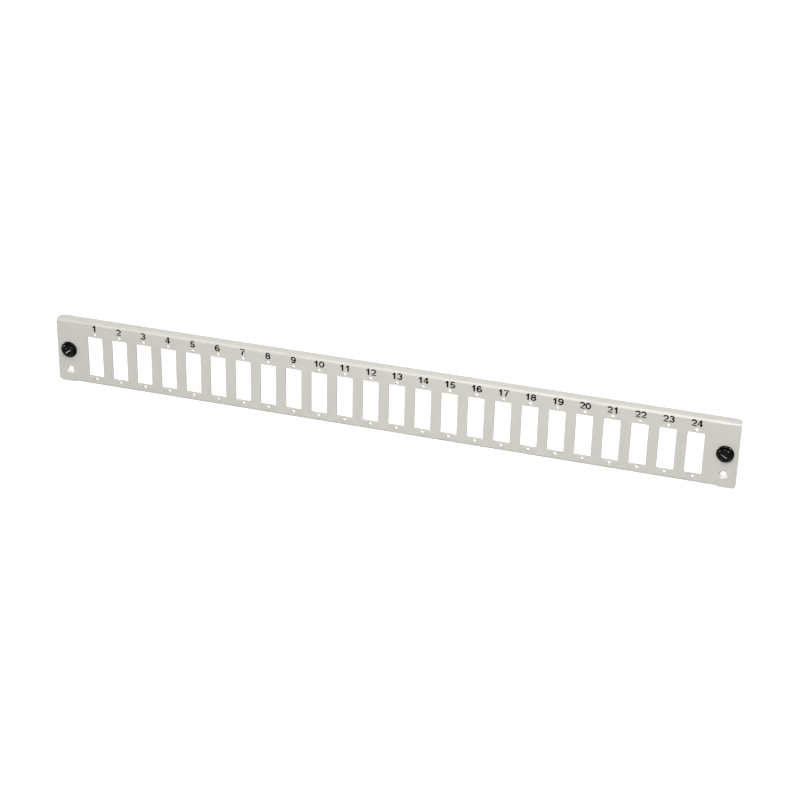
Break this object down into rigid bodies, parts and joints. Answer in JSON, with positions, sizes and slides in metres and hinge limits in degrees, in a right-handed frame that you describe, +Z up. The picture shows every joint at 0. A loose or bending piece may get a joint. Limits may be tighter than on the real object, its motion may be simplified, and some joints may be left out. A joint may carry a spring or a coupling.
{
  "type": "fibre patch panel front plate",
  "caption": "Folded steel front plate for a 1U fibre patch panel, with a row of duplex adapter cut-outs and push-pull latches.",
  "frame": {"origin": "on the back of the face, which seats on the drawer, midway between the two countersunk screw holes", "axes": "+X along the plate's width, +Y back from the front face, +Z up"},
  "size_m": [0.44, 0.0144, 0.0436],
  "materials": {
    "painted_sheet": "light grey powder coat, satin",
    "black_nylon": "gloss moulded nylon"
  },
  "bodies": {
    "plate": {"front_plate": "painted_sheet", "latch_grommet_left": "black_nylon", "latch_grommet_right": "black_nylon"},
    "plunger_left": {"latch_plunger_left": "black_nylon"},
    "plunger_right": {"latch_plunger_right": "black_nylon"}
  },
  "joints": [
    {"name": "plunger_left_slide", "type": "slide", "parent": "plate", "child": "plunger_left", "axis": [0, -1, 0], "range_m": [0, 0.004]},
    {"name": "plunger_right_slide", "type": "slide", "parent": "plate", "child": "plunger_right", "axis": [0, -1, 0], "range_m": [0, 0.004]}
  ]
}
